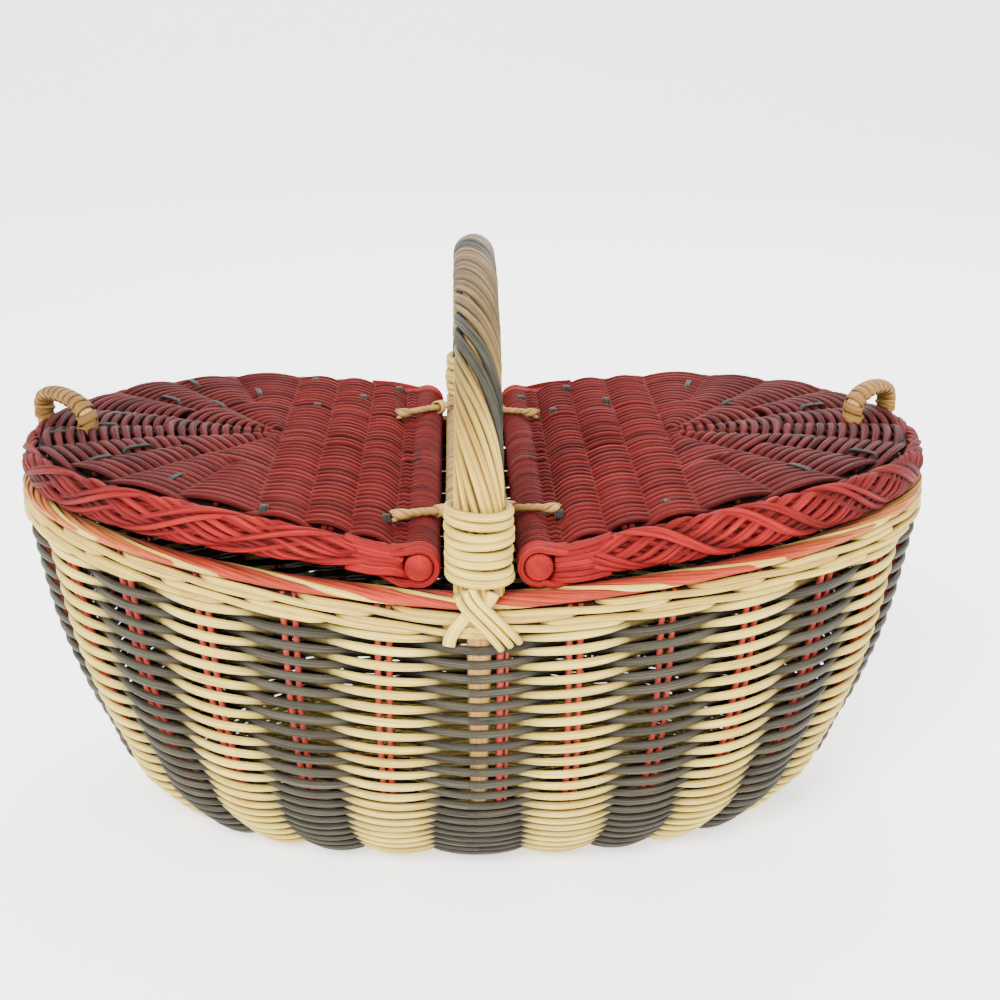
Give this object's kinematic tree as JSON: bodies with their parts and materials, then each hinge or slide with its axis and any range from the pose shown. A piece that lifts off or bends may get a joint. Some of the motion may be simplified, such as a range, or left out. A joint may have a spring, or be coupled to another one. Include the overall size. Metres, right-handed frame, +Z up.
{
  "type": "picnic basket",
  "caption": "Oval woven reed picnic basket with a fixed hoop handle and hinged lids, each with a small looped pull, for carrying food and crockery.",
  "frame": {"origin": "middle of the underside of the base, where the basket stands", "axes": "+Z up; X along the basket's length, the left lid at -X and the right lid at +X; -Y is the front, the side the picture shows"},
  "size_m": [0.4524, 0.3244, 0.2814],
  "materials": {
    "natural_reed": "unvarnished peeled reed, matt with a faint sheen",
    "dark_and_natural_weave": "rows of dark-stained and natural reed, matt",
    "red_reed": "dyed brick-red reed, matt",
    "salmon_reed": "dyed salmon reed, matt",
    "pale_wood": "bare split wood, matt"
  },
  "bodies": {
    "basket": {"base_panel": "natural_reed", "side_wall": "dark_and_natural_weave", "wall_stake_01": "salmon_reed", "wall_stake_02": "salmon_reed", "wall_stake_03": "salmon_reed", "wall_stake_04": "salmon_reed", "wall_stake_05": "salmon_reed", "wall_stake_06": "salmon_reed", "wall_stake_07": "salmon_reed", "wall_stake_08": "salmon_reed", "wall_stake_09": "salmon_reed", "wall_stake_10": "salmon_reed", "wall_stake_11": "salmon_reed", "wall_stake_12": "salmon_reed", "wall_stake_13": "salmon_reed", "wall_stake_14": "salmon_reed", "wall_stake_15": "salmon_reed", "wall_stake_16": "salmon_reed", "wall_stake_17": "salmon_reed", "wall_stake_18": "salmon_reed", "wall_stake_19": "salmon_reed", "wall_stake_20": "salmon_reed", "wall_stake_21": "salmon_reed", "wall_stake_22": "salmon_reed", "wall_stake_23": "salmon_reed", "wall_stake_24": "salmon_reed", "wall_stake_25": "salmon_reed", "wall_stake_26": "salmon_reed", "wall_stake_27": "salmon_reed", "wall_stake_28": "salmon_reed", "wale_band": "natural_reed", "rim_border": "salmon_reed", "handle_core": "pale_wood", "handle_wrap": "natural_reed", "front_handle_binding": "natural_reed", "back_handle_binding": "natural_reed", "front_foot_lashing": "natural_reed", "back_foot_lashing": "natural_reed", "centre_bar_slat": "pale_wood", "centre_bar_wrap": "natural_reed", "front_left_hinge_tie": "natural_reed", "back_left_hinge_tie": "natural_reed", "front_right_hinge_tie": "natural_reed", "back_right_hinge_tie": "natural_reed"},
    "left_lid": {"left_lid_dowel": "red_reed", "left_lid_panel": "red_reed", "left_lid_plait": "red_reed", "left_lid_stake_1": "red_reed", "left_lid_stake_2": "red_reed", "left_lid_stake_3": "red_reed", "left_pull_core": "pale_wood", "left_pull_wrap": "natural_reed"},
    "right_lid": {"right_lid_dowel": "red_reed", "right_lid_panel": "red_reed", "right_lid_plait": "red_reed", "right_lid_stake_1": "red_reed", "right_lid_stake_2": "red_reed", "right_lid_stake_3": "red_reed", "right_pull_core": "pale_wood", "right_pull_wrap": "natural_reed"}
  },
  "joints": [
    {"name": "left_lid_hinge", "type": "hinge", "parent": "basket", "child": "left_lid", "pos_m": [-0.026, 0, 0.1645], "axis": [0, 1, 0], "range_deg": [0, 84], "deforming": ["front_left_hinge_tie", "back_left_hinge_tie"]},
    {"name": "right_lid_hinge", "type": "hinge", "parent": "basket", "child": "right_lid", "pos_m": [0.026, 0, 0.1645], "axis": [0, -1, 0], "range_deg": [0, 84], "deforming": ["front_right_hinge_tie", "back_right_hinge_tie"]}
  ]
}
